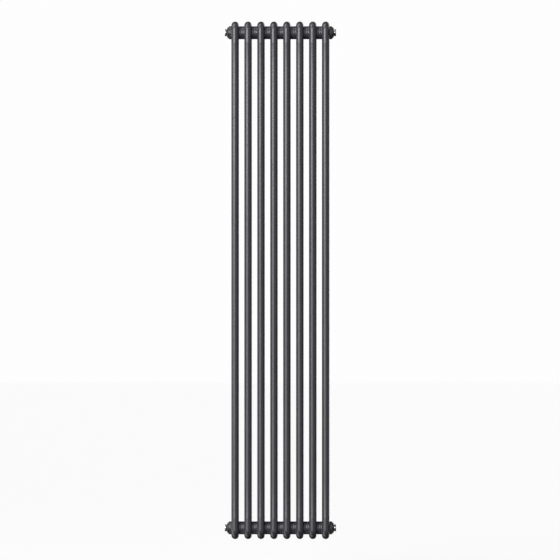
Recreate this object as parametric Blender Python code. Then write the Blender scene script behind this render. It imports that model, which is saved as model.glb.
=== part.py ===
"""A tall two-column steel radiator: eight welded sections, four bushes, three plugs and an air vent.

Metres, +Z up. X runs along the headers, -Y is the front. The origin is under the middle of the
radiator, at its lowest point. Each section is a top head, a bottom head, a front tube and a rear tube.
The air vent is in the top right bush. Its bleed screw turns about the header's axis as it moves out.
"""

import math

import bmesh
import bpy
from mathutils import Matrix, Vector

# The radiator.
HEIGHT = 1.800
SECTIONS = 8
PITCH = 0.045  # from section to section
COLUMN_SPACING = 0.039  # from the front tube's axis to the rear tube's
TUBE_RADIUS = 0.0130
TUBE_WALL = 0.0012
GAP = 0.0003  # between pieces that touch

# A section's head, about its hub's axis.
HUB_RADIUS = 0.0226
HUB_BORE_RADIUS = 0.0169
HUB_INSET = 0.039  # from the hub's axis to the radiator's top or bottom
HUB_LENGTH = PITCH - GAP
LEG_LENGTH = 0.036  # from the hub's axis to the weld with the tube
ARCH_RADIUS = COLUMN_SPACING / 2
ARCH_CENTRE = HUB_INSET - ARCH_RADIUS - TUBE_RADIUS
HUB_Z = {"top": HEIGHT - HUB_INSET, "bottom": HUB_INSET}
END_X = (SECTIONS - 1) / 2 * PITCH  # the outermost section's centre

VENT_END = "top_right"

# An end fitting's stations, outwards from the outermost section's centre.
GASKET_START = HUB_LENGTH / 2 + GAP
GASKET_END = GASKET_START + 0.0012
COLLAR_START = GASKET_END + GAP
HEXAGON_START = COLLAR_START + 0.0019
BUSH_END = 0.0283
O_RING_THICKNESS = 0.0012
HEAD_START = BUSH_END + O_RING_THICKNESS + 2 * GAP
FITTING_END = 0.0361

# The reducing bush, 1 inch outside and 1/2 inch inside.
COLLAR_RADIUS = 0.0196
HEXAGON_ACROSS_FLATS = 0.0300
HEXAGON_TURN = math.radians(18.5)  # how far the front corner points down
SHANK_RADIUS = 0.0162
SHANK_END = 0.0125
BUSH_BORE_RADIUS = 0.0107
GASKET_RADII = (0.0172, 0.0192)

# The chrome heads of the plugs and of the air vent.
HEAD_RADIUS = 0.0120
HEAD_CHAMFER = 0.0007
THREAD_RADIUS = 0.0101
THREAD_END = 0.0170
SOCKET_ACROSS_FLATS = 0.0100
SOCKET_DEPTH = 0.0050

# Inside the air vent.
RECESS_RADIUS = 0.0052
RECESS_DEPTH = 0.0041
SCREW_BORE_RADIUS = 0.0030
SEAT_AT = 0.0202
ORIFICE_RADIUS = 0.0012
OUTLET_RADIUS = 0.0009
OUTLET_OFFSET = 0.0076
OUTLET_AT = 0.0223
SCREW_RADIUS = 0.0026
SCREW_SQUARE = 0.0050
SEAL_RADIUS = 0.0023
SEAL_THICKNESS = 0.0015
SLOT_WIDTH = 0.0010
SLOT_DEPTH = 0.0014
SQUARE_INSET = 0.0012  # below the vent's face, when shut

# The flow baffle, a cup pressed into the bottom header between sections 1 and 2.
BAFFLE_RADIUS = 0.0162
BAFFLE_WALL = 0.0013
BAFFLE_DEPTH = 0.0060

# Facets.
TUBE_SIDES = 12
BORE_SIDES = 8
ARCH_STEPS = 4
HUB_SIDES = 18
FITTING_SIDES = 18
SMALL_SIDES = 16
SMOOTH_ANGLE = math.radians(40)


def clear_scene():
    for old in list(bpy.data.objects):
        bpy.data.objects.remove(old)


def material(name, colour, roughness, metallic):
    made = bpy.data.materials.new(name)
    made.use_nodes = True
    shader = made.node_tree.nodes["Principled BSDF"]
    shader.inputs["Base Color"].default_value = (*colour, 1)
    shader.inputs["Roughness"].default_value = roughness
    shader.inputs["Metallic"].default_value = metallic
    return made


def circle(radius):
    """A ring's radius at any angle."""
    return lambda angle: radius


def polygon(across_flats, corners):
    """The radius of a regular polygon at any angle, with a corner at angle 0."""
    step = 2 * math.pi / corners
    return lambda angle: across_flats / 2 / math.cos(angle % step - step / 2)


def ring(x, radius_at, sides):
    """Points round the X axis at x."""
    angles = [2 * math.pi * i / sides for i in range(sides)]
    return [Vector((x, radius_at(a) * math.cos(a), radius_at(a) * math.sin(a))) for a in angles]


def mesh_of(name, shape):
    bmesh.ops.recalc_face_normals(shape, faces=shape.faces)
    made = bpy.data.meshes.new(name)
    shape.to_mesh(made)
    shape.free()
    return made


def loft(name, rings, through=False):
    """A solid skinned over rings of equal count, with its ends capped, or joined round a through hole."""
    shape = bmesh.new()
    loops = [[shape.verts.new(point) for point in points] for points in rings]
    pairs = list(zip(loops, loops[1:]))
    if through:
        pairs.append((loops[-1], loops[0]))
    else:
        shape.faces.new(loops[0])
        shape.faces.new(loops[-1])
    for first, second in pairs:
        for i in range(len(first)):
            j = (i + 1) % len(first)
            shape.faces.new((first[i], first[j], second[j], second[i]))
    return mesh_of(name, shape)


def turned(name, stations, sides, through=False):
    """A loft along X from (x, radius function) stations."""
    return loft(name, [ring(x, radius_at, sides) for x, radius_at in stations], through)


def helper(mesh):
    """An object that only shapes another one."""
    made = bpy.data.objects.new(mesh.name, mesh)
    bpy.context.scene.collection.objects.link(made)
    made.hide_render = True
    made.display_type = "WIRE"
    return made


def combined(name, base, steps):
    """base joined with or cut by each mesh in steps, as one mesh."""
    body = helper(base)
    tools = []
    for operation, mesh in steps:
        tools.append(helper(mesh))
        modifier = body.modifiers.new(operation, "BOOLEAN")
        modifier.operation = operation
        modifier.object = tools[-1]
    bpy.context.view_layer.update()
    graph = bpy.context.evaluated_depsgraph_get()
    made = bpy.data.meshes.new_from_object(body.evaluated_get(graph))
    made.name = name
    for used in (body, *tools):
        bpy.data.objects.remove(used)
    return made


def place(name, mesh, finish, parent, location=(0, 0, 0), rotation=(0, 0, 0)):
    """A named piece of the radiator. Copies share their mesh."""
    if not mesh.materials:
        mesh.materials.append(finish)
        mesh.shade_smooth()
        mesh.set_sharp_from_angle(angle=SMOOTH_ANGLE)
    made = bpy.data.objects.new(name, mesh)
    made.parent = parent
    made.location = location
    made.rotation_euler = rotation
    bpy.context.scene.collection.objects.link(made)
    return made


def empty(name, location, rotation=(0, 0, 0)):
    made = bpy.data.objects.new(name, None)
    made.location = location
    made.rotation_euler = rotation
    bpy.context.scene.collection.objects.link(made)
    return made


def bent_tube(name, radius, sides, steps, leg):
    """A tube over the arch: up the front leg, half a turn over the top, and down the rear leg."""
    bends = [math.pi * i / steps for i in range(steps + 1)]
    path = [((-math.cos(a) * ARCH_RADIUS, ARCH_CENTRE + math.sin(a) * ARCH_RADIUS), a) for a in bends]
    path = [((-ARCH_RADIUS, -leg), 0.0), *path, ((ARCH_RADIUS, -leg), math.pi)]
    rings = []
    for (y, z), bend in path:
        outward = Vector((0, -math.cos(bend), math.sin(bend)))
        angles = [2 * math.pi * i / sides for i in range(sides)]
        centre = Vector((0, y, z))
        ways = [outward * math.cos(a) + Vector((math.sin(a), 0, 0)) for a in angles]
        rings.append([centre + radius * way for way in ways])
    return loft(name, rings)


def head_mesh():
    """A hollow pressed head: the arch over both legs and the hub across it, about the hub's axis."""
    overlap = 0.002
    half = HUB_LENGTH / 2
    hub = turned("hub", [(-half, circle(HUB_RADIUS)), (half, circle(HUB_RADIUS))], HUB_SIDES)
    bore_end = half + overlap
    hub_bore = [(-bore_end, circle(HUB_BORE_RADIUS)), (bore_end, circle(HUB_BORE_RADIUS))]
    bore_radius = TUBE_RADIUS - TUBE_WALL
    arch = bent_tube("arch", TUBE_RADIUS, TUBE_SIDES, ARCH_STEPS, LEG_LENGTH)
    steps = [
        ("UNION", hub),
        ("DIFFERENCE", bent_tube("arch_bore", bore_radius, BORE_SIDES, ARCH_STEPS, LEG_LENGTH + overlap)),
        ("DIFFERENCE", turned("hub_bore", hub_bore, FITTING_SIDES)),
    ]
    return combined("head", arch, steps)


def tube_mesh():
    """A straight pipe along Z about its own middle."""
    half = (HEIGHT - 2 * HUB_INSET) / 2 - LEG_LENGTH - GAP
    outer = TUBE_RADIUS
    inner = TUBE_RADIUS - TUBE_WALL
    stations = [(-half, outer), (half, outer), (half, inner), (-half, inner)]
    angles = [2 * math.pi * i / TUBE_SIDES for i in range(TUBE_SIDES)]
    rings = [[Vector((r * math.cos(a), r * math.sin(a), z)) for a in angles] for z, r in stations]
    return loft("tube", rings, through=True)


def bush_mesh():
    """The reducing bush: a threaded shank, a round collar and a chamfered hexagon, bored through."""
    hexagon = polygon(HEXAGON_ACROSS_FLATS, 6)
    chamfer = 0.0012
    chamfer_radius = HEXAGON_ACROSS_FLATS / 2

    def chamfered(angle):
        return min(hexagon(angle), chamfer_radius)

    stations = [
        (SHANK_END, circle(BUSH_BORE_RADIUS)),
        (SHANK_END, circle(SHANK_RADIUS)),
        (COLLAR_START, circle(SHANK_RADIUS)),
        (COLLAR_START, circle(COLLAR_RADIUS)),
        (HEXAGON_START, circle(COLLAR_RADIUS)),
        (HEXAGON_START, hexagon),
        (BUSH_END - chamfer, hexagon),
        (BUSH_END, chamfered),
        (BUSH_END, circle(BUSH_BORE_RADIUS)),
    ]
    return turned("bush", stations, FITTING_SIDES, through=True)


def gasket_mesh():
    inner, outer = GASKET_RADII
    stations = [
        (GASKET_START, circle(inner)),
        (GASKET_END, circle(inner)),
        (GASKET_END, circle(outer)),
        (GASKET_START, circle(outer)),
    ]
    return turned("bush_gasket", stations, FITTING_SIDES, through=True)


def o_ring_mesh():
    """A ring of round section under a plug's or the vent's head."""
    section = O_RING_THICKNESS / 2
    middle = BUSH_END + GAP + section
    radius = THREAD_RADIUS + GAP + section
    facets = 6
    turns = [2 * math.pi * i / facets for i in range(facets)]
    stations = [(middle + section * math.cos(t), circle(radius + section * math.sin(t))) for t in turns]
    return turned("o_ring", stations, FITTING_SIDES, through=True)


def head_stations():
    """The outside of a plug or of the air vent: face, chamfer, rim, underside and threaded shank."""
    return [
        (FITTING_END, circle(HEAD_RADIUS - HEAD_CHAMFER)),
        (FITTING_END - HEAD_CHAMFER, circle(HEAD_RADIUS)),
        (HEAD_START, circle(HEAD_RADIUS)),
        (HEAD_START, circle(THREAD_RADIUS)),
        (THREAD_END, circle(THREAD_RADIUS)),
    ]


def plug_mesh():
    """A blanking plug with a hexagon socket in its round head."""
    socket = polygon(SOCKET_ACROSS_FLATS, 6)
    stations = [(FITTING_END - SOCKET_DEPTH, socket), (FITTING_END, socket), *head_stations()]
    return turned("plug", stations, FITTING_SIDES)


def vent_mesh():
    """The air vent's body: orifice, seat, screw bore and key recess on its axis, and an outlet below."""
    recess_floor = FITTING_END - RECESS_DEPTH
    stations = [
        (THREAD_END, circle(ORIFICE_RADIUS)),
        (SEAT_AT, circle(ORIFICE_RADIUS)),
        (SEAT_AT, circle(SCREW_BORE_RADIUS)),
        (recess_floor, circle(SCREW_BORE_RADIUS)),
        (recess_floor, circle(RECESS_RADIUS)),
        (FITTING_END, circle(RECESS_RADIUS)),
        *head_stations(),
    ]
    body = turned("vent", stations, FITTING_SIDES, through=True)
    beyond = 0.002
    outlet_sides = 8
    hole = circle(OUTLET_RADIUS)
    along = turned("outlet", [(OUTLET_AT, hole), (FITTING_END + beyond, hole)], outlet_sides)
    along.transform(Matrix.Translation((0, 0, -OUTLET_OFFSET)))
    across = turned("cross_hole", [(SCREW_BORE_RADIUS / 2, hole), (OUTLET_OFFSET, hole)], outlet_sides)
    across.transform(Matrix.Rotation(math.pi / 2, 4, "Y"))
    across.transform(Matrix.Translation((OUTLET_AT + OUTLET_RADIUS, 0, 0)))
    return combined("vent", body, [("DIFFERENCE", along), ("DIFFERENCE", across)])


def bleed_seal_mesh():
    """The soft disc at the screw's tip, which closes the orifice. Its own origin is on the seat."""
    start = GAP
    end = start + SEAL_THICKNESS
    return turned("bleed_seal", [(start, circle(SEAL_RADIUS)), (end, circle(SEAL_RADIUS))], SMALL_SIDES)


def bleed_screw_mesh():
    """The bleed screw: shank, square for the key and driver slot. Its own origin is on the seat."""
    start = SEAL_THICKNESS + 2 * GAP
    shoulder = FITTING_END - RECESS_DEPTH + GAP - SEAT_AT
    end = FITTING_END - SQUARE_INSET - SEAT_AT
    square = polygon(SCREW_SQUARE, 4)
    shank = circle(SCREW_RADIUS)
    stations = [(start, shank), (shoulder, shank), (shoulder, square), (end, square)]
    screw = turned("bleed_screw", stations, SMALL_SIDES)
    slot = bmesh.new()
    bmesh.ops.create_cube(slot, size=1)
    bmesh.ops.scale(slot, verts=slot.verts, vec=(2 * SLOT_DEPTH, 2 * SCREW_SQUARE, SLOT_WIDTH))
    bmesh.ops.translate(slot, verts=slot.verts, vec=(end, 0, 0))
    return combined("bleed_screw", screw, [("DIFFERENCE", mesh_of("slot", slot))])


def baffle_mesh():
    """A thin cup pressed into the header's bore, open towards the middle of the radiator."""
    half = BAFFLE_DEPTH / 2
    inside = BAFFLE_RADIUS - BAFFLE_WALL
    stations = [
        (-half, circle(BAFFLE_RADIUS)),
        (half, circle(BAFFLE_RADIUS)),
        (half, circle(inside)),
        (-half + BAFFLE_WALL, circle(inside)),
    ]
    return turned("flow_baffle", stations, SMALL_SIDES)


def build_sections(radiator, paint):
    head = head_mesh()
    tube = tube_mesh()
    middle = HEIGHT / 2
    upside_down = (math.pi, 0, 0)
    for number in range(1, SECTIONS + 1):
        x = (number - 1) * PITCH - END_X
        place(f"section_{number}_top_head", head, paint, radiator, (x, 0, HUB_Z["top"]))
        place(f"section_{number}_bottom_head", head, paint, radiator, (x, 0, HUB_Z["bottom"]), upside_down)
        place(f"section_{number}_front_tube", tube, paint, radiator, (x, -ARCH_RADIUS, middle))
        place(f"section_{number}_rear_tube", tube, paint, radiator, (x, ARCH_RADIUS, middle))


def build_ends(paint, chrome, rubber, brass):
    """A reducing bush in each end of both headers, the air vent in the top right one, plugs in the rest."""
    bush, gasket, plug, o_ring = bush_mesh(), gasket_mesh(), plug_mesh(), o_ring_mesh()
    outwards = {"left": (-END_X, math.pi), "right": (END_X, 0.0)}
    for level, z in HUB_Z.items():
        for side, (x, turn) in outwards.items():
            where = f"{level}_{side}"
            end = empty(f"{where}_end", (x, 0, z), (0, 0, turn))
            place(f"{where}_reducing_bush", bush, paint, end, rotation=(HEXAGON_TURN, 0, 0))
            place(f"{where}_bush_gasket", gasket, rubber, end)
            if where == VENT_END:
                place("air_vent_body", vent_mesh(), chrome, end)
                place("air_vent_o_ring", o_ring, rubber, end)
                place("bleed_seal", bleed_seal_mesh(), rubber, end, (SEAT_AT, 0, 0))
                place("bleed_screw", bleed_screw_mesh(), brass, end, (SEAT_AT, 0, 0))
            else:
                place(f"{where}_blanking_plug", plug, chrome, end)
                place(f"{where}_plug_o_ring", o_ring, rubber, end)


def build():
    clear_scene()
    paint = material("anthracite_paint", (0.037, 0.036, 0.044), 0.35, 0.0)
    chrome = material("chrome", (0.80, 0.81, 0.82), 0.12, 1.0)
    rubber = material("black_rubber", (0.02, 0.02, 0.02), 0.70, 0.0)
    brass = material("brass", (0.72, 0.53, 0.25), 0.30, 1.0)
    steel = material("bare_steel", (0.45, 0.45, 0.45), 0.45, 1.0)
    radiator = empty("radiator", (0, 0, 0))
    build_sections(radiator, paint)
    build_ends(paint, chrome, rubber, brass)
    first_joint = (PITCH / 2 - END_X, 0, HUB_Z["bottom"])
    place("flow_baffle", baffle_mesh(), steel, radiator, first_joint)
    bpy.context.view_layer.update()


build()
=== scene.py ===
"""The looks of a tall two-column steel radiator.

Fine meshes, materials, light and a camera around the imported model, in metres, +Z up, with the front towards
-Y. Places and sizes are read from the frame's nodes, or are named details below. Each fine piece stands for
one CAD node, apart from the weld seams between the heads, which have none.
"""

import math

import bmesh
import bpy
import numpy as np
from mathutils import Matrix, Vector


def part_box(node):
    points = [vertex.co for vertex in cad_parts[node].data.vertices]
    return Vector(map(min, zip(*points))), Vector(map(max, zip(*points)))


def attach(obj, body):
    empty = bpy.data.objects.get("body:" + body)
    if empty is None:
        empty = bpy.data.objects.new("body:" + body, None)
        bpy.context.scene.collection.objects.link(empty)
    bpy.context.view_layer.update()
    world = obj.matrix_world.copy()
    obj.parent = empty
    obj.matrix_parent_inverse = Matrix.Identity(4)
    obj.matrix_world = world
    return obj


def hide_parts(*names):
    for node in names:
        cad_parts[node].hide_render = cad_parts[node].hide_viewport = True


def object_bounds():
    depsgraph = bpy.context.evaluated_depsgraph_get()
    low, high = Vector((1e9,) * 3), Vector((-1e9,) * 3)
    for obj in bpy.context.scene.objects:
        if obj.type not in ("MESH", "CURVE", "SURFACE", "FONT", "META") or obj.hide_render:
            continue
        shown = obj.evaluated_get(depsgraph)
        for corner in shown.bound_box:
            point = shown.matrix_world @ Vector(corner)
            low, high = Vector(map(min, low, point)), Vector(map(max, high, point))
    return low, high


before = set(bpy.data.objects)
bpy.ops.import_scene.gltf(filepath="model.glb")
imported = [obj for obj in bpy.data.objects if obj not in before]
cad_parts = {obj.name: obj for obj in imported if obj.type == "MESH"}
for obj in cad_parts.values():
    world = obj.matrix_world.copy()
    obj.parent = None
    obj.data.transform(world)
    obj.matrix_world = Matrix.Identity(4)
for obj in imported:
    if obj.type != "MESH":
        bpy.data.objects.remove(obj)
cad_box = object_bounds()

SECTIONS = 8
LEVELS = ("top", "bottom")
ENDS = ("left", "right")
VENT_END = "top_right"

# Details finer than the CAD model's.
NET_STEP = 0.0013  # cell size of the heads' surface
FILLET = 0.0026  # where a head's arch meets its hub
RIM_WIDTH = 0.0030  # how far a hub's end rounds off towards its seam
RIM_DROP = 0.0007
SEAM_RADIUS = 0.0007
BEAD_RISE = 0.00025
BEAD_WIDTH = 0.0022
TUBE_OVERRUN = 0.00025  # how far a tube runs on, to meet its heads' legs
ROUND_SIDES = 96
SHARP_ANGLE = math.radians(35)
WELD_DISTANCE = 0.000001
PATTERN_SPREAD = (40.0, 40.0, 0.0)  # how far the paint's pattern moves on for each metre between pieces

# The camera: its lens and sensor in millimetres, and what it takes in of the radiator's own plane.
CAMERA_LENS = 300
CAMERA_SENSOR = 36
VIEW_WIDTH = 1.9477
VIEW_CENTRE = Vector((-0.0016, 0.0, 0.9011))

# The floor and the backdrop.
FLOOR_DROP = 0.12  # the radiator hangs this far above the floor
FLOOR_REACH = 30.0
FLOOR_COLOUR = (0.12, 0.12, 0.12, 1)
FLOOR_ROUGHNESS = 0.9
FLOOR_GLOW = 0.80
BACKDROP_COLOUR = (0.985, 0.985, 0.985, 1)

# The studio sky is a sum of soft patches of light. Each has its strength, its two sides, and its lower and
# upper edges. A side or an edge runs from where the patch is dark to where it is full, in degrees to the
# right of the radiator's front or above the level. An upper edge from past 90 degrees leaves the zenith lit.
SKY = (
    (6.4, ((-55, -50), (8, -30)), ((-16, 7), (50, 20))),  # the key, in front on the left
    (4.2, ((-125, -100), (-30, -60)), ((20, 45), (120, 100))),  # above on the left
    (3.0, ((-120, -100), (-60, -80)), ((-89, -60), (10, -15))),  # below on the left
    (0.45, ((0, 25), (95, 60)), ((-40, -10), (110, 60))),  # a weak fill on the right
    (2.6, ((112, 122), (178, 146)), ((-30, -5), (45, 12))),  # behind on the right, for views of the back
)
DIM_STRENGTH = 0.02  # of the sky between the patches


def size_of(node):
    low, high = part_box(node)
    return Vector(high) - Vector(low)


def middle_of(node):
    low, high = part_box(node)
    return (Vector(low) + Vector(high)) / 2


# The tubes and heads, from the frame's boxes where they say. A hub is a head's part of the header, about X.
TUBE_RADIUS = size_of("section_1_front_tube").x / 2
TUBE_LENGTH = size_of("section_1_front_tube").z
TUBE_WALL = 0.0012
COLUMN_OFFSET = middle_of("section_1_rear_tube").y
HUB_LENGTH = size_of("section_1_top_head").x
HUB_Z = {level: middle_of(f"{level}_left_bush_gasket").z for level in LEVELS}
HUB_RADIUS = 0.0226
HUB_BORE_RADIUS = 0.0169
HEAD_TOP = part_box("section_1_top_head")[1][2] - HUB_Z["top"]
LEG_LENGTH = HUB_Z["top"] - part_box("section_1_top_head")[0][2]
ARCH_CENTRE = HEAD_TOP - COLUMN_OFFSET - TUBE_RADIUS
SECTION_X = [middle_of(f"section_{n}_top_head").x for n in range(1, SECTIONS + 1)]


def station(node, corner):
    """How far outwards from the last section's centre a node at the right starts (0) or ends (1)."""
    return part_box(node)[corner][0] - SECTION_X[-1]


# An end's bush and plug: stations, radii and threads.
TOUCHING_GAP = 0.0003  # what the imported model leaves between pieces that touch
SHANK_END = station("bottom_right_reducing_bush", 0)
BUSH_END = station("bottom_right_reducing_bush", 1)
GASKET_INNER = 0.0172
COLLAR_THICKNESS = 0.0019
COLLAR_START = station("bottom_right_bush_gasket", 1) + TOUCHING_GAP
COLLAR_END = COLLAR_START + COLLAR_THICKNESS
COLLAR_RADIUS = 0.0196
SHANK_RADIUS = 0.0162
BUSH_BORE_RADIUS = 0.0107
HEXAGON_ACROSS_FLATS = 0.0300
HEXAGON_TURN = math.radians(18.5)
HEAD_START = station("bottom_right_plug_o_ring", 1) + TOUCHING_GAP
HEAD_RADIUS = size_of("bottom_right_blanking_plug").y / 2
FITTING_END = station("bottom_right_blanking_plug", 1)
THREAD_END = station("bottom_right_blanking_plug", 0)
THREAD_RADIUS = 0.0101
G1_PITCH = 0.00231
G_HALF_PITCH = 0.00181
SOCKET_ACROSS_FLATS = 0.0100
SOCKET_DEPTH = 0.0050

# Inside the air vent.
SEAT_AT = station("bleed_seal", 0) - TOUCHING_GAP
ORIFICE_RADIUS = 0.0012
SCREW_BORE_RADIUS = 0.0030
RECESS_RADIUS = 0.0052
RECESS_DEPTH = 0.0041
OUTLET_AT = SEAT_AT + 0.0021  # the outlet's closed end
OUTLET_RADIUS = 0.0009
OUTLET_OFFSET = 0.0076
SCREW_START = station("bleed_screw", 0)
SCREW_SHOULDER = FITTING_END - RECESS_DEPTH + TOUCHING_GAP
SCREW_END = station("bleed_screw", 1)
SCREW_RADIUS = 0.0026
SCREW_PITCH = 0.0010
SCREW_SQUARE = 0.0050
SLOT_WIDTH = 0.0010
SLOT_DEPTH = 0.0014

BAFFLE_WALL = 0.0013


# Materials.


class Nodes:
    """A short way to write a material's node tree."""

    def __init__(self, name):
        self.material = bpy.data.materials.new(name)
        self.material.use_nodes = True
        self.tree = self.material.node_tree
        self.shader = self.tree.nodes["Principled BSDF"]
        self.place = self.add("ShaderNodeTexCoord").outputs["Object"]

    def add(self, kind, **settings):
        node = self.tree.nodes.new(kind)
        for key, value in settings.items():
            setattr(node, key, value)
        return node

    def link(self, source, target):
        self.tree.links.new(source, target)

    def spread(self):
        """Moves the pattern on by a piece's own place, so that neighbours with one mesh don't look alike."""
        away = self.add("ShaderNodeVectorMath", operation="MULTIPLY_ADD")
        self.link(self.add("ShaderNodeObjectInfo").outputs["Location"], away.inputs[0])
        away.inputs[1].default_value = PATTERN_SPREAD
        self.link(self.place, away.inputs[2])
        self.place = away.outputs["Vector"]

    def noise(self, scale, detail=2.0, roughness=0.5):
        node = self.add("ShaderNodeTexNoise")
        node.inputs["Scale"].default_value = scale
        node.inputs["Detail"].default_value = detail
        node.inputs["Roughness"].default_value = roughness
        self.link(self.place, node.inputs["Vector"])
        return node.outputs["Fac"]

    def ramp(self, value, low, high):
        """A number from low to high as value goes from 0.3 to 0.7, where noise mostly lies."""
        node = self.add("ShaderNodeMapRange")
        node.inputs["From Min"].default_value = 0.3
        node.inputs["From Max"].default_value = 0.7
        self.link(value, node.inputs["Value"])
        node.inputs["To Min"].default_value = low
        node.inputs["To Max"].default_value = high
        return node.outputs["Result"]

    def blend(self, factor, first, second):
        """A colour between first and second, which are colours or sockets."""
        node = self.add("ShaderNodeMix", data_type="RGBA")
        colour_a, colour_b, result = node.inputs[6], node.inputs[7], node.outputs[2]
        for socket, value in ((colour_a, first), (colour_b, second)):
            if isinstance(value, tuple):
                socket.default_value = (*value, 1)
            else:
                self.link(value, socket)
        self.link(factor, node.inputs[0])
        return result

    def bump(self, height, strength, distance, below=None):
        """A normal bent by height, on top of another bump if below is one."""
        node = self.add("ShaderNodeBump")
        node.inputs["Strength"].default_value = strength
        node.inputs["Distance"].default_value = distance
        self.link(height, node.inputs["Height"])
        if below is not None:
            self.link(below, node.inputs["Normal"])
        return node.outputs["Normal"]

    def set(self, **values):
        """Gives the shader's inputs numbers or sockets."""
        for key, value in values.items():
            socket = self.shader.inputs[key.replace("_", " ")]
            if hasattr(value, "is_output"):
                self.link(value, socket)
            else:
                socket.default_value = value


def paint_material():
    """Satin anthracite powder coat: cured in a fine orange peel, with a slight drift in tone and sheen."""
    nodes = Nodes("anthracite_powder_coat")
    nodes.spread()
    darker, lighter, fleck = (0.0235, 0.0230, 0.0285), (0.0305, 0.0298, 0.0365), (0.044, 0.043, 0.051)
    drift = nodes.noise(9.0, detail=3.0)
    flecks = nodes.noise(2600.0, detail=1.0)
    tone = nodes.blend(nodes.ramp(drift, 0.0, 1.0), darker, lighter)
    tone = nodes.blend(nodes.ramp(flecks, 0.0, 0.40), tone, fleck)
    peel = nodes.bump(nodes.noise(480.0), strength=0.60, distance=0.00012)
    grain = nodes.bump(nodes.noise(2100.0), strength=0.45, distance=0.00004, below=peel)
    nodes.set(Base_Color=tone, Roughness=nodes.ramp(drift, 0.27, 0.33), Metallic=0.0, IOR=1.5, Normal=grain)
    return nodes.material


def chrome_material():
    """Bright chrome plate over turned brass, with faint turning lines and handling marks."""
    nodes = Nodes("chrome_plate")
    dull, bright = (0.74, 0.75, 0.77), (0.82, 0.83, 0.84)
    smears = nodes.noise(140.0, detail=4.0)
    tone = nodes.blend(nodes.ramp(smears, 0.0, 1.0), dull, bright)
    lines = nodes.add("ShaderNodeTexNoise", noise_dimensions="1D")
    lines.inputs["Scale"].default_value = 4200.0
    apart = nodes.add("ShaderNodeSeparateXYZ")
    nodes.link(nodes.place, apart.inputs["Vector"])
    nodes.link(apart.outputs["X"], lines.inputs["W"])
    grooves = nodes.bump(lines.outputs["Fac"], strength=0.10, distance=0.00003)
    nodes.set(Base_Color=tone, Roughness=nodes.ramp(smears, 0.07, 0.16), Metallic=1.0, Normal=grooves)
    return nodes.material


def brass_material():
    """Machined brass, slightly dulled, with fine tool marks."""
    nodes = Nodes("machined_brass")
    dark, light = (0.60, 0.42, 0.18), (0.76, 0.57, 0.28)
    tarnish = nodes.noise(420.0, detail=4.0)
    tone = nodes.blend(nodes.ramp(tarnish, 0.0, 1.0), dark, light)
    cuts = nodes.bump(nodes.noise(3800.0, detail=1.0), strength=0.15, distance=0.00003)
    nodes.set(Base_Color=tone, Roughness=nodes.ramp(tarnish, 0.24, 0.40), Metallic=1.0, Normal=cuts)
    return nodes.material


def rubber_material():
    """Matt black nitrile rubber with a moulded grain and a trace of talc."""
    nodes = Nodes("black_rubber")
    bare, dusty = (0.012, 0.012, 0.013), (0.040, 0.040, 0.040)
    talc = nodes.noise(900.0, detail=4.0, roughness=0.7)
    tone = nodes.blend(nodes.ramp(talc, 0.0, 0.6), bare, dusty)
    grain = nodes.bump(nodes.noise(3000.0, detail=3.0), strength=0.4, distance=0.00005)
    nodes.set(Base_Color=tone, Roughness=nodes.ramp(talc, 0.62, 0.78), Metallic=0.0, Normal=grain)
    return nodes.material


def steel_material():
    """Bare pressed steel, mottled with mill scale and finely pitted."""
    nodes = Nodes("bare_pressed_steel")
    dark, light = (0.26, 0.26, 0.27), (0.46, 0.46, 0.45)
    mottle = nodes.noise(260.0, detail=5.0)
    tone = nodes.blend(nodes.ramp(mottle, 0.0, 1.0), dark, light)
    pits = nodes.bump(nodes.noise(1500.0, detail=3.0), strength=0.3, distance=0.00008)
    nodes.set(Base_Color=tone, Roughness=nodes.ramp(mottle, 0.38, 0.58), Metallic=1.0, Normal=pits)
    return nodes.material


# Meshes.


def mesh_of(name, shape):
    """A mesh from a bmesh, facing outwards, with crisp edges left sharp."""
    bmesh.ops.recalc_face_normals(shape, faces=shape.faces)
    made = bpy.data.meshes.new(name)
    shape.to_mesh(made)
    shape.free()
    finish_shading(made)
    return made


def finish_shading(mesh):
    mesh.shade_smooth()
    mesh.set_sharp_from_angle(angle=SHARP_ANGLE)


def skin(name, rings, closed=False):
    """A mesh skinned over rings of equal count. Its ends are capped, or joined to each other if closed."""
    shape = bmesh.new()
    loops = [[shape.verts.new(point) for point in points] for points in rings]
    pairs = list(zip(loops, loops[1:]))
    if closed:
        pairs.append((loops[-1], loops[0]))
    else:
        shape.faces.new(loops[0])
        shape.faces.new(loops[-1])
    for first, second in pairs:
        for i in range(len(first)):
            j = (i + 1) % len(first)
            shape.faces.new((first[i], first[j], second[j], second[i]))
    return mesh_of(name, shape)


def turned(name, profile, sides=ROUND_SIDES, closed=False):
    """A lathe piece about X from (x, radius) points."""
    angles = [2 * math.pi * i / sides for i in range(sides)]
    rings = [[Vector((x, r * math.cos(a), r * math.sin(a))) for a in angles] for x, r in profile]
    return skin(name, rings, closed)


def rounded(profile, radius, steps=4):
    """The closed profile with each of its corners rounded, as far as its neighbours leave room."""
    most = 0.45  # of a side's length, so that two corners never meet
    made = []
    count = len(profile)
    for i in range(count):
        before, corner, after = (Vector(profile[(i + k) % count]) for k in (-1, 0, 1))
        reach = min(radius, (before - corner).length * most, (after - corner).length * most)
        start = corner + (before - corner).normalized() * reach
        end = corner + (after - corner).normalized() * reach
        for k in range(steps + 1):
            t = k / steps
            made.append(tuple(start * (1 - t) ** 2 + corner * 2 * t * (1 - t) + end * t ** 2))
    return made


def mend(mesh):
    """Joins points that coincide, and splits many-sided faces into triangles of a good shape."""
    shape = bmesh.new()
    shape.from_mesh(mesh)
    bmesh.ops.remove_doubles(shape, verts=shape.verts, dist=WELD_DISTANCE)
    bmesh.ops.triangulate(shape, faces=[face for face in shape.faces if len(face.verts) > 4])
    shape.to_mesh(mesh)
    shape.free()


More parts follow.
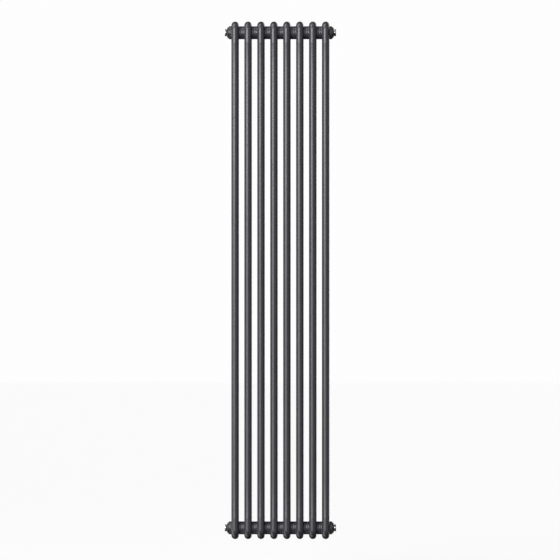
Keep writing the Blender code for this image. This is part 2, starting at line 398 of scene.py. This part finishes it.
def shaped(name, base, steps):
    """base joined with, cut by or kept inside each mesh in steps, as one mesh."""
    body = bpy.data.objects.new("body", base)
    bpy.context.scene.collection.objects.link(body)
    tools = []
    for operation, mesh in steps:
        tools.append(bpy.data.objects.new("tool", mesh))
        bpy.context.scene.collection.objects.link(tools[-1])
        modifier = body.modifiers.new(operation, "BOOLEAN")
        modifier.operation = operation
        modifier.object = tools[-1]
    bpy.context.view_layer.update()
    graph = bpy.context.evaluated_depsgraph_get()
    made = bpy.data.meshes.new_from_object(body.evaluated_get(graph))
    made.name = name
    for used in (body, *tools):
        bpy.data.objects.remove(used)
    made.materials.clear()
    mend(made)
    finish_shading(made)
    return made


def surface_net(distance, low, high, step):
    """Points and quads over a distance function's zero level, found cell by cell and then moved onto it."""
    axes = [np.arange(a, b + step, step) for a, b in zip(low, high)]
    grid = np.stack(np.meshgrid(*axes, indexing="ij"), axis=-1)
    inside = distance(grid) < 0
    cells = tuple(n - 1 for n in inside.shape)
    count = np.zeros(cells, dtype=int)
    for i in (0, 1):
        for j in (0, 1):
            for k in (0, 1):
                count += inside[i:i + cells[0], j:j + cells[1], k:k + cells[2]]
    crossed = (count > 0) & (count < 8)  # cells with some of their 8 corners inside
    index = np.full(cells, -1)
    index[crossed] = np.arange(crossed.sum())
    points = np.argwhere(crossed) * step + step / 2 + np.array([a[0] for a in axes])
    quads = []
    for axis in range(3):
        one, two = [other for other in range(3) if other != axis]
        ahead = np.diff(inside.astype(int), axis=axis)
        for where in np.argwhere(ahead != 0):
            if min(where[one], where[two]) < 1 or where[one] >= cells[one] or where[two] >= cells[two]:
                continue
            corners = []
            for back_one, back_two in ((1, 1), (0, 1), (0, 0), (1, 0)):
                cell = where.copy()
                cell[one] -= back_one
                cell[two] -= back_two
                corners.append(index[tuple(cell)])
            quads.append(corners)
    quads = np.array(quads)
    smoothing_rounds = 3
    for _ in range(smoothing_rounds):
        points = onto_surface(distance, relaxed(points, quads), step)
    return onto_surface(distance, points, step), quads


def relaxed(points, quads):
    """Each point moved halfway to the mean of its neighbours."""
    total = np.zeros_like(points)
    number = np.zeros(len(points))
    for near, far in ((0, 1), (1, 2), (2, 3), (3, 0)):
        for a, b in ((quads[:, near], quads[:, far]), (quads[:, far], quads[:, near])):
            np.add.at(total, a, points[b])
            np.add.at(number, a, 1)
    return (points + total / number[:, None]) / 2


def onto_surface(distance, points, step):
    """The points moved along the distance function's slope until they lie on its zero level."""
    rounds = 4
    nudge = step / 50
    for _ in range(rounds):
        value = distance(points)
        slope = np.empty_like(points)
        for axis in range(3):
            shift = np.zeros(3)
            shift[axis] = nudge
            slope[:, axis] = (distance(points + shift) - distance(points - shift)) / (2 * nudge)
        points = points - (value / (slope ** 2).sum(axis=1))[:, None] * slope
    return points


def head_distance(points):
    """How far a point is outside a head: the arch over both columns, filleted into the hub across them."""
    x, y, z = points[..., 0], points[..., 1], points[..., 2]
    sideways = np.where(z > ARCH_CENTRE, np.hypot(y, z - ARCH_CENTRE), np.abs(y))
    arch = np.hypot(x, sideways - COLUMN_OFFSET) - TUBE_RADIUS
    rim = np.clip((np.abs(x) - HUB_LENGTH / 2 + RIM_WIDTH) / RIM_WIDTH, 0, 1)
    hub = np.hypot(y, z) - HUB_RADIUS + RIM_DROP * rim ** 2 * (3 - rim) / 2
    corner = np.hypot(np.maximum(FILLET - arch, 0), np.maximum(FILLET - hub, 0))
    return np.maximum(FILLET, np.minimum(arch, hub)) - corner


def bent_bore(reach):
    """The water's way over the arch, as a solid."""
    bore_radius = TUBE_RADIUS - TUBE_WALL
    sides, bends = 32, 24
    path = [(-COLUMN_OFFSET, -LEG_LENGTH - reach, 0.0)]
    for i in range(bends + 1):
        bend = math.pi * i / bends
        path.append((-COLUMN_OFFSET * math.cos(bend), ARCH_CENTRE + COLUMN_OFFSET * math.sin(bend), bend))
    path.append((COLUMN_OFFSET, -LEG_LENGTH - reach, math.pi))
    rings = []
    for y, z, bend in path:
        outward = Vector((0, -math.cos(bend), math.sin(bend)))
        angles = [2 * math.pi * i / sides for i in range(sides)]
        across = [outward * math.cos(a) + Vector((math.sin(a), 0, 0)) for a in angles]
        rings.append([Vector((0, y, z)) + bore_radius * way for way in across])
    return skin("bent_bore", rings)


def head_mesh():
    """A head's pressed shell, about its hub's axis, open at the hub's ends and at both legs."""
    margin = 3 * NET_STEP
    half = HUB_LENGTH / 2
    depth = COLUMN_OFFSET + TUBE_RADIUS + margin
    low = (-half - margin, -depth, -LEG_LENGTH - margin)
    high = (half + margin, depth, HEAD_TOP + margin)
    points, quads = surface_net(head_distance, low, high, NET_STEP)
    shape = bmesh.new()
    verts = [shape.verts.new(point) for point in points]
    for quad in quads:
        shape.faces.new([verts[i] for i in quad])
    ends = [((half, 0, 0), (1, 0, 0)), ((-half, 0, 0), (-1, 0, 0)), ((0, 0, -LEG_LENGTH), (0, 0, -1))]
    for at, facing in ends:
        everything = shape.verts[:] + shape.edges[:] + shape.faces[:]
        cut = bmesh.ops.bisect_plane(shape, geom=everything, plane_co=at, plane_no=facing, clear_outer=True)
        edges = [part for part in cut["geom_cut"] if isinstance(part, bmesh.types.BMEdge)]
        bmesh.ops.edgeloop_fill(shape, edges=edges)
    reach = 0.002
    bore = [(-half - reach, HUB_BORE_RADIUS), (half + reach, HUB_BORE_RADIUS)]
    steps = [("DIFFERENCE", bent_bore(reach)), ("DIFFERENCE", turned("hub_bore", bore, sides=64))]
    return shaped("head", mesh_of("head", shape), steps)


def tube_mesh():
    """A straight pipe about its own middle, along X, with a low weld bead at each end."""
    half = TUBE_LENGTH / 2 + TUBE_OVERRUN
    inner = TUBE_RADIUS - TUBE_WALL
    outside = []
    bead_steps = 6
    for i in range(bead_steps + 1):
        t = i / bead_steps
        outside.append((half - BEAD_WIDTH * t, TUBE_RADIUS + BEAD_RISE * math.cos(math.pi / 2 * t)))
    stretches = 16
    start = half - BEAD_WIDTH
    straight = [(start - 2 * start * i / stretches, TUBE_RADIUS) for i in range(1, stretches)]
    far_end = [(-x, r) for x, r in reversed(outside)]
    profile = outside + straight + far_end + [(-half, inner), (half, inner)]
    return turned("tube", profile, sides=64, closed=True)


def seam_mesh():
    """The weld seam between two heads: a ring with the ripples of its weld pool."""
    sides, facets, ripples = 192, 10, 64
    sink, spread = 0.45, 1.5
    middle = HUB_RADIUS - RIM_DROP - SEAM_RADIUS * sink
    turns = [2 * math.pi * k / facets for k in range(facets)]
    rings = []
    for i in range(sides):
        a = 2 * math.pi * i / sides
        swell = 1 + 0.10 * math.sin(ripples * a) + 0.06 * math.sin(5 * a + 1) + 0.05 * math.sin(13 * a)
        radius = SEAM_RADIUS * swell
        ring = []
        for turn in turns:
            out = middle + radius * math.cos(turn)
            ring.append(Vector((spread * radius * math.sin(turn), out * math.cos(a), out * math.sin(a))))
        rings.append(ring)
    return skin("seam", rings, closed=True)


def hexagonal(across_flats, start, end):
    """A hexagonal prism along X, with a corner towards +Y."""
    corner = across_flats / 2 / math.cos(math.pi / 6)
    rings = []
    for x in (start, end):
        angles = [math.pi / 3 * i for i in range(6)]
        rings.append([Vector((x, corner * math.cos(a), corner * math.sin(a))) for a in angles])
    return skin("hexagonal", rings)


def threaded(name, start, end, radius, pitch, sides=48):
    """A solid screw thread about X, its ridges fading in at both ends."""
    depth = 0.5 * pitch
    rings_per_turn = 6
    count = round((end - start) / pitch * rings_per_turn)
    rings = []
    for i in range(count + 1):
        x = start + (end - start) * i / count
        fade = min(1.0, (x - start) / pitch, (end - x) / pitch)
        ring = []
        for k in range(sides):
            a = 2 * math.pi * k / sides
            ridge = abs(((x / pitch - k / sides) % 1.0) * 2 - 1)
            r = radius - depth * (1 - ridge * fade)
            ring.append(Vector((x, r * math.cos(a), r * math.sin(a))))
        rings.append(ring)
    return skin(name, rings)


def solid_turned(name, start, end, radius, edge, sides=ROUND_SIDES):
    """A solid disc or rod about X with rounded rims."""
    steps = 4
    bends = [math.pi / 2 * i / steps for i in range(steps + 1)]
    rise = [(start + edge * (1 - math.cos(b)), radius - edge * (1 - math.sin(b))) for b in bends]
    fall = [(end - edge * (1 - math.cos(b)), radius - edge * (1 - math.sin(b))) for b in reversed(bends)]
    return turned(name, rise + fall, sides)


def mouth_points(face, radius, chamfer, reach):
    """The last points of a bore's profile: a chamfered mouth in a face, cut on past it by reach."""
    return [(face - chamfer, radius), (face + reach, radius + chamfer + reach)]


def bush_mesh():
    """The reducing bush: a threaded shank, a round collar and a turned-down hexagon, bored through."""
    flat = HEXAGON_ACROSS_FLATS / 2
    corner = flat / math.cos(math.pi / 6)
    crown_height, play, spare = 0.0026, 0.0004, 0.001
    stem = COLLAR_END - spare
    crown = [
        (stem - spare, corner + spare),
        (BUSH_END - crown_height, corner + play),
        (BUSH_END, flat - play),
    ]
    prism = hexagonal(HEXAGON_ACROSS_FLATS, stem, BUSH_END)
    hexagon = shaped("hexagon", prism, [("INTERSECT", turned("crown", crown))])
    reach = 0.002
    bore = [(SHANK_END - reach, BUSH_BORE_RADIUS)]
    bore += mouth_points(BUSH_END, BUSH_BORE_RADIUS, chamfer=0.0008, reach=reach)
    steps = [
        ("UNION", solid_turned("collar", COLLAR_START, COLLAR_END, COLLAR_RADIUS, edge=0.0005)),
        ("UNION", hexagon),
        ("DIFFERENCE", turned("bore", bore)),
    ]
    shank_top = COLLAR_START + 0.0008  # inside the collar
    shank = threaded("shank", SHANK_END, shank_top, SHANK_RADIUS, G1_PITCH)
    return shaped("bush", shank, steps)


def fitting_blank():
    """What a plug and the air vent have in common: a round head with a soft rim on a threaded shank."""
    head = solid_turned("round_head", HEAD_START, FITTING_END, HEAD_RADIUS, edge=0.0009)
    shank_top = HEAD_START + 0.0004  # inside the head
    shank = threaded("shank", THREAD_END, shank_top, THREAD_RADIUS, G_HALF_PITCH)
    return shaped("fitting", head, [("UNION", shank)])


def plug_mesh():
    """A blanking plug: a hexagon socket with a turned mouth in its round head."""
    reach = 0.001
    floor = FITTING_END - SOCKET_DEPTH
    mouth = mouth_points(FITTING_END, SOCKET_ACROSS_FLATS / 2, chamfer=0.0006, reach=reach)
    steps = [
        ("DIFFERENCE", hexagonal(SOCKET_ACROSS_FLATS, floor, FITTING_END + reach)),
        ("DIFFERENCE", turned("mouth", mouth)),
    ]
    return shaped("plug", fitting_blank(), steps)


def vent_mesh():
    """The air vent's body: key recess, screw bore, seat and orifice on its axis, and the outlet below."""
    reach = 0.001
    recess_floor = FITTING_END - RECESS_DEPTH
    bores = [
        (THREAD_END - reach, ORIFICE_RADIUS),
        (SEAT_AT, ORIFICE_RADIUS),
        (SEAT_AT, SCREW_BORE_RADIUS),
        (recess_floor, SCREW_BORE_RADIUS),
        (recess_floor, RECESS_RADIUS),
    ]
    bores += mouth_points(FITTING_END, RECESS_RADIUS, chamfer=0.0005, reach=reach)
    outlet = [(OUTLET_AT, OUTLET_RADIUS)]
    outlet += mouth_points(FITTING_END, OUTLET_RADIUS, chamfer=0.0004, reach=reach)
    along = turned("outlet", outlet, sides=32)
    along.transform(Matrix.Translation((0, 0, -OUTLET_OFFSET)))
    cross_radius = OUTLET_RADIUS * 0.95
    cross = [(SCREW_BORE_RADIUS / 2, cross_radius), (OUTLET_OFFSET, cross_radius)]
    across = turned("cross_hole", cross, sides=32)
    turn_down = Matrix.Rotation(math.pi / 2, 4, "Y")
    across.transform(Matrix.Translation((OUTLET_AT + OUTLET_RADIUS, 0, 0)) @ turn_down)
    steps = [("DIFFERENCE", turned("bores", bores)), ("DIFFERENCE", along), ("DIFFERENCE", across)]
    return shaped("vent", fitting_blank(), steps)


def bleed_screw_mesh():
    """The bleed screw: a fine thread, a chamfered square for the key and a driver slot."""
    square = bmesh.new()
    bmesh.ops.create_cube(square, size=1)
    length = SCREW_END - SCREW_SHOULDER
    bmesh.ops.scale(square, verts=square.verts, vec=(length, SCREW_SQUARE, SCREW_SQUARE))
    bmesh.ops.rotate(square, verts=square.verts, matrix=Matrix.Rotation(math.pi / 4, 3, "X"))
    bmesh.ops.translate(square, verts=square.verts, vec=(SCREW_SHOULDER + length / 2, 0, 0))
    bmesh.ops.bevel(square, geom=square.edges[:], offset=0.0003, segments=2, affect="EDGES")
    slot = bmesh.new()
    bmesh.ops.create_cube(slot, size=1)
    bmesh.ops.scale(slot, verts=slot.verts, vec=(2 * SLOT_DEPTH, 2 * SCREW_SQUARE, SLOT_WIDTH))
    bmesh.ops.translate(slot, verts=slot.verts, vec=(SCREW_END, 0, 0))
    shank_end = SCREW_SHOULDER + 0.0004  # inside the square
    shank = threaded("shank", SCREW_START, shank_end, SCREW_RADIUS, SCREW_PITCH, sides=32)
    steps = [("UNION", mesh_of("square", square)), ("DIFFERENCE", mesh_of("slot", slot))]
    return shaped("bleed_screw", shank, steps)


def ring_mesh(name, start, end, inner, outer, edge):
    """A washer about X with rounded edges."""
    profile = [(start, inner), (end, inner), (end, outer), (start, outer)]
    return turned(name, rounded(profile, edge), closed=True)


def gasket_mesh(node):
    """A bush's gasket, which fills a node's box."""
    radius = size_of(node).y / 2
    return ring_mesh("gasket", station(node, 0), station(node, 1), GASKET_INNER, radius, edge=0.0004)


def seal_mesh():
    """The bleed screw's seal, a disc."""
    radius = size_of("bleed_seal").y / 2
    start, end = station("bleed_seal", 0), station("bleed_seal", 1)
    return solid_turned("seal", start, end, radius, edge=0.0003, sides=48)


def o_ring_mesh(node):
    """A round-sectioned ring that fills a node's box."""
    low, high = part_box(node)
    section = (high[0] - low[0]) / 2
    middle = (low[0] + high[0]) / 2 - SECTION_X[-1]
    radius = (high[1] - low[1]) / 2 - section
    facets = 16
    turns = [2 * math.pi * i / facets for i in range(facets)]
    profile = [(middle + section * math.cos(t), radius + section * math.sin(t)) for t in turns]
    return turned("o_ring", profile, closed=True)


def baffle_mesh():
    """The flow baffle: a thin pressed cup about its own middle, rounded where its wall turns up."""
    size = size_of("flow_baffle")
    half, outer, bend = size.x / 2, size.y / 2, 0.0011
    turns = np.linspace(0, math.pi / 2, 6)
    corner = [(-half + bend * (1 - math.sin(t)), outer - bend * (1 - math.cos(t))) for t in reversed(turns)]
    rim = [(half, outer), (half, outer - BAFFLE_WALL), (-half + BAFFLE_WALL, outer - BAFFLE_WALL)]
    return turned("baffle", list(reversed(corner)) + rim, sides=64)


# The radiator.


def put(name, mesh, look, slot, nodes=(), at=(0, 0, 0), turn=(0, 0, 0), body="radiator"):
    """A fine piece in place of its CAD nodes, if it has any, riding on a body."""
    if not mesh.materials:
        mesh.materials.append(look)
    piece = bpy.data.objects.new(name, mesh)
    piece.location = at
    piece.rotation_euler = turn
    bpy.context.scene.collection.objects.link(piece)
    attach(piece, body)
    if nodes:
        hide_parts(*nodes)


def add_sections(paint):
    head, tube, seam = head_mesh(), tube_mesh(), seam_mesh()
    tube_z = middle_of("section_1_front_tube").z
    for number, x in enumerate(SECTION_X, start=1):
        for level, flip in (("top", 0.0), ("bottom", math.pi)):
            node = f"section_{number}_{level}_head"
            put(f"head_{level}_{number}", head, paint, "paint", [node], (x, 0, HUB_Z[level]), (flip, 0, 0))
            if number < SECTIONS:
                joint = (x + SECTION_X[number]) / 2
                put(f"seam_{level}_{number}", seam, paint, "paint", at=(joint, 0, HUB_Z[level]))
        for row, y in (("front", -COLUMN_OFFSET), ("rear", COLUMN_OFFSET)):
            node = f"section_{number}_{row}_tube"
            put(f"tube_{row}_{number}", tube, paint, "paint", [node], (x, y, tube_z), (0, math.pi / 2, 0))


def add_vent(chrome, rubber, brass, o_ring, facing):
    """The air vent. The seal and the screw ride on bodies of their own."""
    put("vent_body", vent_mesh(), chrome, "chrome", ["air_vent_body"], **facing)
    put("vent_ring", o_ring, rubber, "rubber", ["air_vent_o_ring"], **facing)
    put("vent_screw", bleed_screw_mesh(), brass, "brass", ["bleed_screw"], body="bleed_screw", **facing)
    put("vent_seal", seal_mesh(), rubber, "rubber", ["bleed_seal"], body="bleed_seal", **facing)


def add_ends(paint, chrome, rubber, brass):
    """Each header end's bush and gasket, with a plug or the air vent in it."""
    bush, plug = bush_mesh(), plug_mesh()
    gasket = gasket_mesh("bottom_right_bush_gasket")
    o_ring = o_ring_mesh("bottom_right_plug_o_ring")
    for level in LEVELS:
        for side in ENDS:
            where = f"{level}_{side}"
            x, about_z = (SECTION_X[-1], 0.0) if side == "right" else (SECTION_X[0], math.pi)
            at = (x, 0, HUB_Z[level])
            facing = {"at": at, "turn": (0, 0, about_z)}
            bush_turn = Matrix.Rotation(about_z, 3, "Z") @ Matrix.Rotation(HEXAGON_TURN, 3, "X")
            put(f"bush_{where}", bush, paint, "paint", [f"{where}_reducing_bush"], at, bush_turn.to_euler())
            put(f"gasket_{where}", gasket, rubber, "rubber", [f"{where}_bush_gasket"], **facing)
            if where == VENT_END:
                add_vent(chrome, rubber, brass, o_ring, facing)
            else:
                put(f"plug_{where}", plug, chrome, "chrome", [f"{where}_blanking_plug"], **facing)
                put(f"plug_ring_{where}", o_ring, rubber, "rubber", [f"{where}_plug_o_ring"], **facing)


def add_baffle(steel):
    put("baffle", baffle_mesh(), steel, "steel", ["flow_baffle"], at=middle_of("flow_baffle"))


def add_radiator():
    paint = paint_material()
    add_sections(paint)
    add_ends(paint, chrome_material(), rubber_material(), brass_material())
    add_baffle(steel_material())


# The studio.


def floor_material():
    """A floor that is pale by its own glow in every view, with only a trace of the light on it."""
    made = bpy.data.materials.new("pale_floor")
    made.use_nodes = True
    shader = made.node_tree.nodes["Principled BSDF"]
    shader.inputs["Base Color"].default_value = FLOOR_COLOUR
    shader.inputs["Roughness"].default_value = FLOOR_ROUGHNESS
    shader.inputs["Emission Color"].default_value = (1, 1, 1, 1)
    shader.inputs["Emission Strength"].default_value = FLOOR_GLOW
    return made


def add_floor():
    """A pale floor under the hanging radiator, which doesn't light it, show in it or shade it."""
    shape = bmesh.new()
    bmesh.ops.create_grid(shape, x_segments=8, y_segments=8, size=FLOOR_REACH)
    mesh = bpy.data.meshes.new("floor")
    shape.to_mesh(mesh)
    shape.free()
    mesh.materials.append(floor_material())
    floor = bpy.data.objects.new("floor", mesh)
    floor.location.z = cad_box[0].z - FLOOR_DROP
    floor.visible_diffuse = False
    floor.visible_glossy = False
    floor.visible_shadow = False
    bpy.context.scene.collection.objects.link(floor)


def smoothly(tree, value, start, end):
    """Eases from 0 at start to 1 at end. value is in radians, and start and end are in degrees."""
    node = tree.nodes.new("ShaderNodeMapRange")
    node.interpolation_type = "SMOOTHSTEP"
    rising = start < end
    node.inputs["From Min"].default_value = math.radians(min(start, end))
    node.inputs["From Max"].default_value = math.radians(max(start, end))
    node.inputs["To Min"].default_value = 0 if rising else 1
    node.inputs["To Max"].default_value = 1 if rising else 0
    tree.links.new(value, node.inputs["Value"])
    return node.outputs["Result"]


def calculated(tree, operation, *values):
    """The result of a maths node on sockets and numbers."""
    node = tree.nodes.new("ShaderNodeMath")
    node.operation = operation
    for socket, value in zip(node.inputs, values):
        if isinstance(value, (int, float)):
            socket.default_value = value
        else:
            tree.links.new(value, socket)
    return node.outputs[0]


def patch_of_light(tree, azimuth, elevation, strength, sides, edges):
    """One of SKY's patches, as a number for each direction."""
    made = strength
    for side in sides:
        made = calculated(tree, "MULTIPLY", smoothly(tree, azimuth, *side), made)
    for edge in edges:
        made = calculated(tree, "MULTIPLY", smoothly(tree, elevation, *edge), made)
    return made


def add_world():
    """Near-white to the camera. For everything else the studio sky, brightest in front on the left."""
    world = bpy.data.worlds.new("studio")
    world.use_nodes = True
    tree = world.node_tree
    tree.nodes.clear()
    way = tree.nodes.new("ShaderNodeSeparateXYZ")
    tree.links.new(tree.nodes.new("ShaderNodeTexCoord").outputs["Generated"], way.inputs["Vector"])
    forwards = calculated(tree, "MULTIPLY", way.outputs["Y"], -1)
    azimuth = calculated(tree, "ARCTAN2", way.outputs["X"], forwards)
    elevation = calculated(tree, "ARCSINE", way.outputs["Z"])
    total = DIM_STRENGTH
    for patch in SKY:
        total = calculated(tree, "ADD", patch_of_light(tree, azimuth, elevation, *patch), total)
    sky = tree.nodes.new("ShaderNodeBackground")
    sky.inputs["Color"].default_value = (1, 1, 1, 1)
    tree.links.new(total, sky.inputs["Strength"])
    seen = tree.nodes.new("ShaderNodeBackground")
    seen.inputs["Color"].default_value = BACKDROP_COLOUR
    path = tree.nodes.new("ShaderNodeLightPath")
    mix = tree.nodes.new("ShaderNodeMixShader")
    output = tree.nodes.new("ShaderNodeOutputWorld")
    tree.links.new(path.outputs["Is Camera Ray"], mix.inputs["Fac"])
    tree.links.new(sky.outputs[0], mix.inputs[1])
    tree.links.new(seen.outputs[0], mix.inputs[2])
    tree.links.new(mix.outputs[0], output.inputs["Surface"])
    bpy.context.scene.world = world


def add_softbox(name, around, distance, height, size, power):
    """A rectangular soft light, level, at an angle to the right of the radiator's front."""
    angle = math.radians(around)
    lamp = bpy.data.lights.new(name, "AREA")
    lamp.shape = "RECTANGLE"
    lamp.size, lamp.size_y = size
    lamp.energy = power
    light = bpy.data.objects.new(name, lamp)
    light.location = (distance * math.sin(angle), -distance * math.cos(angle), height)
    light.rotation_euler = (math.pi / 2, 0, angle)
    light.visible_camera = False
    bpy.context.scene.collection.objects.link(light)


def add_camera():
    """Square on to the front, from far away."""
    camera = bpy.data.objects.new("camera", bpy.data.cameras.new("camera"))
    camera.data.lens = CAMERA_LENS
    camera.data.sensor_width = CAMERA_SENSOR
    camera.data.clip_end = 100
    distance = VIEW_WIDTH * CAMERA_LENS / CAMERA_SENSOR
    camera.location = VIEW_CENTRE - Vector((0, distance, 0))
    camera.rotation_euler = (math.pi / 2, 0, 0)
    bpy.context.scene.collection.objects.link(camera)
    bpy.context.scene.camera = camera


def add_studio():
    bpy.context.scene.view_settings.view_transform = "Standard"
    add_floor()
    add_world()
    add_softbox("high_key", around=-36, distance=2.6, height=2.1, size=(1.9, 1.5), power=42)
    add_camera()


add_radiator()
add_studio()
